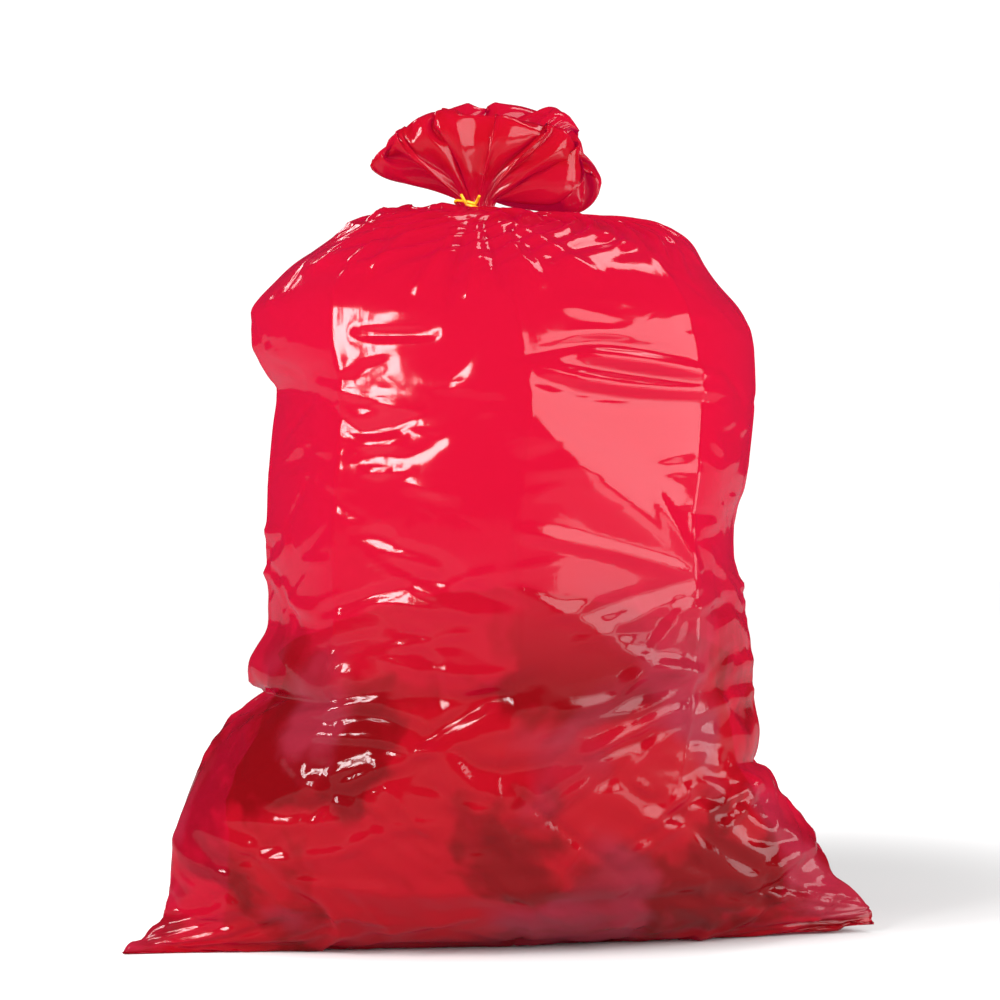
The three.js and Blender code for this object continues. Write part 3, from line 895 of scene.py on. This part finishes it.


# %% [markdown]
# ## The waste's material
#
# Household waste in a bag is paper, food trays, cloth and peelings, each of its own colour, and
# all of it dirty and matt. Behind red film only light and dark are left of that. So the heap is
# divided into things of 60 to 120 mm, each with one plain colour, and the gaps between them are
# painted near black as painted shade.

# %% Waste
def waste_material():
    m = material("Mixed waste")
    place = node(m, "ShaderNodeTexCoord").outputs["Object"]
    # Things 60 to 120 mm across, each of its own colour, with paper fibre and dirt on them
    cells = node(m, "ShaderNodeTexVoronoi", Vector=place, Scale=11.0, Randomness=1.0)
    seams = node(m, "ShaderNodeTexVoronoi", {"feature": "DISTANCE_TO_EDGE"}, Vector=place,
                 Scale=11.0, Randomness=1.0)
    tone = node(m, "ShaderNodeValToRGB", Fac=cells.outputs["Color"])
    ramp = tone.color_ramp
    ramp.interpolation = "CONSTANT"
    ramp.elements[0].position, ramp.elements[0].color = 0.0, linear("1c1316")
    ramp.elements[1].position, ramp.elements[1].color = 0.85, linear("8d7a72")
    for position, colour in ((0.25, "3b2a26"), (0.45, "5c4a58"), (0.6, "24201f"), (0.72, "6b4f3c")):
        ramp.elements.new(position).color = linear(colour)
    dirt = node(m, "ShaderNodeTexNoise", Vector=place, Scale=60.0, Detail=6.0, Roughness=0.7)
    dirty = mixed(m, between(m, dirt.outputs[0], 0.42, 0.62), tone.outputs[0], linear("1a1412"))
    # Painted shade: the gaps between the things are drawn near black
    dark = mixed(m, between(m, seams.outputs[0], 0.0, 0.06, 1.0, 0.0), dirty, linear("080606"))
    worn = node(m, "ShaderNodeBump", Strength=0.6, Distance=0.004, Height=dirt.outputs[0])
    gap = node(m, "ShaderNodeBump", Strength=0.8, Distance=0.01, Height=seams.outputs[0],
               Normal=worn.outputs[0])
    rough = node(m, "ShaderNodeBsdfPrincipled", Base_Color=dark, Roughness=0.8,
                 Normal=gap.outputs[0])
    node(m, "ShaderNodeOutputMaterial", Surface=rough.outputs[0])
    return m


# %% [markdown]
# ## The tie's material
#
# Polypropylene, drawn into tape and twisted. Its index of refraction is 1.49 and its gloss is
# broken by fibres 0.3 mm apart, which are drawn 1 mm apart here so that they show.

# %% Tie
def tie_material():
    m = material("Yellow polypropylene tie")
    place = node(m, "ShaderNodeTexCoord").outputs["Object"]
    # Fibres along the tape, and dirt rubbed into them
    fibre = node(m, "ShaderNodeTexNoise", Vector=place, Scale=900.0, Detail=2.0)
    rubbed = node(m, "ShaderNodeTexNoise", Vector=place, Scale=120.0, Detail=3.0)
    colour = mixed(m, between(m, rubbed.outputs[0], 0.45, 0.7), linear("f6c01c"), linear("c98a12"))
    lines = node(m, "ShaderNodeBump", Strength=0.4, Distance=0.0002, Height=fibre.outputs[0])
    rough = node(m, "ShaderNodeBsdfPrincipled", Base_Color=colour, Roughness=0.4, IOR=1.49,
                 Normal=lines.outputs[0])
    node(m, "ShaderNodeOutputMaterial", Surface=rough.outputs[0])
    return m


# %% [markdown]
# ## Which piece stands for which solid
#
# Each piece takes the place of one solid of the model, which is hidden, rides on its body and is
# given its own material.

# %% Pieces
for piece, made, slot_name, cad_node in (
    (bag, film_material(), "film", "film_bag"),
    (waste, waste_material(), "waste", "waste_filling"),
    (tie, tie_material(), "tie", "neck_tie"),
):
    piece.data.materials.append(made)
    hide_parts(cad_node)
    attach(piece, "root")
    print(piece.name, "of", made.name, "for", cad_node)

# %% [markdown]
# ## The floor
#
# White paper under even light. Where the film mirrors it, it is drawn darker, as a lit floor is
# far dimmer than the lamps, and behind the bag's right side its colour is painted greyer, a
# painted shadow that deepens the bag's soft shadow there.

# %% Floor
floor = mesh_object("floor", [(-9, -9, 0), (9, -9, 0), (9, 9, 0), (-9, 9, 0)], [(0, 1, 2, 3)])
paper = material("White paper floor")
grain = node(paper, "ShaderNodeTexNoise", Scale=300.0, Detail=2.0)
tooth = node(paper, "ShaderNodeBump", Strength=0.02, Distance=0.0005, Height=grain.outputs[0])
# Painted shadow: the paper's colour is greyer round a spot behind the bag's right side, where its
# soft shadow falls, so that the shadow shows in this bright light
place = node(paper, "ShaderNodeTexCoord").outputs["Object"]
away = node(paper, "ShaderNodeVectorMath", {"operation": "DISTANCE"}, _0=place,
            _1=(0.38, 0.22, 0)).outputs["Value"]
shadow_grey_paper = mixed(paper, between(paper, away, 0.1, 0.75), linear("b3b3b3"), linear("f7f7f7"))
matt = node(paper, "ShaderNodeBsdfPrincipled", Base_Color=shadow_grey_paper, Roughness=0.9,
            Specular_IOR_Level=0.2, Normal=tooth.outputs[0])
in_film = node(paper, "ShaderNodeLightPath").outputs["Is Glossy Ray"]
dark = node(paper, "ShaderNodeBsdfDiffuse", Color=linear("959595"))
seen = node(paper, "ShaderNodeMixShader", _0=in_film, _1=matt.outputs[0], _2=dark.outputs[0])
node(paper, "ShaderNodeOutputMaterial", Surface=seen.outputs[0])
floor.data.materials.append(paper)

# %% [markdown]
# ## The room
#
# A white room to the camera and to the soft light. Mirrored in the film it is dim, as in a real
# studio, where all that faces the bag beside the lamps is dark.

# %% The room
scene = bpy.context.scene
scene.view_settings.view_transform = "Standard"
scene.world = bpy.data.worlds.new("studio")
scene.world.use_nodes = True
scene.world.node_tree.nodes.clear()
mirrored = node(scene.world, "ShaderNodeLightPath").outputs["Is Glossy Ray"]
white = node(scene.world, "ShaderNodeBackground", Color=linear("ffffff"), Strength=1.15)
dim = node(scene.world, "ShaderNodeBackground", Color=linear("ffffff"), Strength=0.03)
room = node(scene.world, "ShaderNodeMixShader", _0=mirrored, _1=white.outputs[0],
            _2=dim.outputs[0])
node(scene.world, "ShaderNodeOutputWorld", Surface=room.outputs[0])

print("room lit at", white.inputs["Strength"].default_value)

# %% [markdown]
# ## Lights
#
# What shows on glossy film is the lamps' own shapes. A large soft box at the right lays the broad
# sheen on the flat panel there, and two narrow ones at the left make the white streaks like
# window panes. Low boxes at the right pick out the fans of folds near the floor.

# %% Lights
def softbox(name, place, aim, size, radiance):
    """An area light of even radiance, so that size and brightness are chosen apart"""
    light = bpy.data.lights.new(name, "AREA")
    light.shape = "RECTANGLE"
    light.size, light.size_y = size
    light.energy = radiance * size[0] * size[1] * math.pi
    made = bpy.data.objects.new(name, light)
    made.location = place
    made.rotation_euler = (Vector(aim) - Vector(place)).to_track_quat("-Z", "Y").to_euler()
    made.visible_camera = False
    bpy.context.scene.collection.objects.link(made)
    return made


softbox("large box right", (1.49, -1.34, 1.0), (0.05, -0.19, 0.45), (1.6, 1.3), 7.0)
softbox("low strip right", (1.20, -1.19, 0.13), (0.12, -0.17, 0.28), (1.0, 0.22), 4.0)
softbox("low box at the right", (1.5, -0.08, 0.2), (0.19, -0.11, 0.12), (0.6, 0.35), 4.5)
softbox("window left", (-1.62, -1.36, 1.15), (-0.12, -0.16, 0.52), (0.24, 1.0), 36.0)
softbox("window further left", (-1.84, -1.06, 1.15), (-0.12, -0.16, 0.52), (0.24, 1.0), 36.0)
softbox("box behind left", (-0.85, 1.9, 1.75), (-0.1, 0, 0.5), (0.5, 0.4), 7.0)
softbox("box above right", (0.9, 0.2, 2.1), (0, 0, 0.6), (0.5, 0.5), 8.0)

# %% [markdown]
# ## The camera
#
# It stands 2.16 m away and 396 mm high, level, a little to the left of the bag's front, with a
# long lens, so the bag's sides hardly converge.

# %% Camera
lens = bpy.data.cameras.new("camera")
lens.lens = 85
camera = bpy.data.objects.new("camera", lens)
camera.location = (DISTANCE * math.sin(AZIMUTH), -DISTANCE * math.cos(AZIMUTH), HEIGHT)
camera.rotation_euler = (math.radians(90), 0, AZIMUTH)
scene.collection.objects.link(camera)
scene.camera = camera
print("camera at", [round(x, 3) for x in camera.location])
